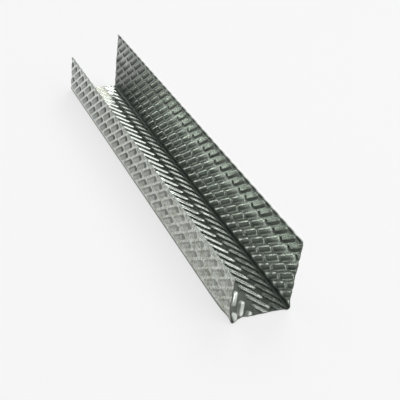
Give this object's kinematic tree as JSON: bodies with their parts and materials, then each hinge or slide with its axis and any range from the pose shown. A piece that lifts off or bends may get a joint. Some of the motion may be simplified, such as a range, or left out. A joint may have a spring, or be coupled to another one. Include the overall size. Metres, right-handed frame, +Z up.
{
  "type": "perimeter channel",
  "caption": "Short length of roll-formed galvanised steel channel with a flat web and two unequal flanges, which carries the edge of a suspended ceiling along a wall.",
  "frame": {"origin": "middle of the web's outer face, which lies on the floor", "axes": "+X across the web towards the long flange, +Y along the length, +Z up the flanges"},
  "size_m": [0.027, 0.204, 0.032],
  "materials": {
    "galvanised_steel": "hot-dip galvanised strip, embossed with rows of slanted bars, dull grey with soft bright highlights"
  },
  "bodies": {
    "root": {"perimeter_channel": "galvanised_steel"}
  },
  "joints": []
}
